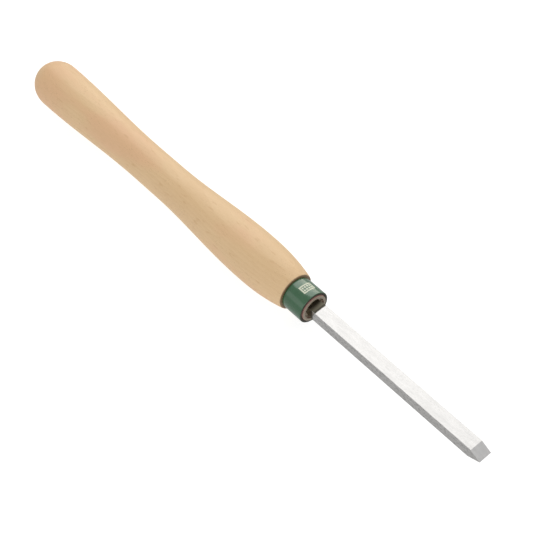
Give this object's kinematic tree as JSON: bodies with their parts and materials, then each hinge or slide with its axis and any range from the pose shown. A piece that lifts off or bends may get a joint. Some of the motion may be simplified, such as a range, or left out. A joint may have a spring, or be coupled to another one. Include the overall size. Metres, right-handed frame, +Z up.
{
  "type": "beading and parting tool",
  "caption": "Hand turning tool: square steel bar with a straight two-bevel edge, green ferrule and slim turned wooden handle with a full belly and a waist.",
  "frame": {"origin": "halfway along the tool, under its axis, at the lowest point of the handle's belly, which the tool lies on", "axes": "+X along the tool towards the cutting edge, +Y along the cutting edge, +Z up, out of the bar's top face"},
  "size_m": [0.4478, 0.0354, 0.0354],
  "materials": {
    "handle_wood": "pale beech, smooth sanded, thin clear lacquer",
    "ferrule_enamel": "glossy mid-green enamel on steel",
    "ferrule_print": "pale cream ink printed on the enamel, plain shapes only",
    "blade_steel": "bright ground steel, fine lengthwise grinding marks"
  },
  "bodies": {
    "root": {"handle": "handle_wood", "ferrule": "ferrule_enamel", "blade": "blade_steel"}
  },
  "joints": []
}
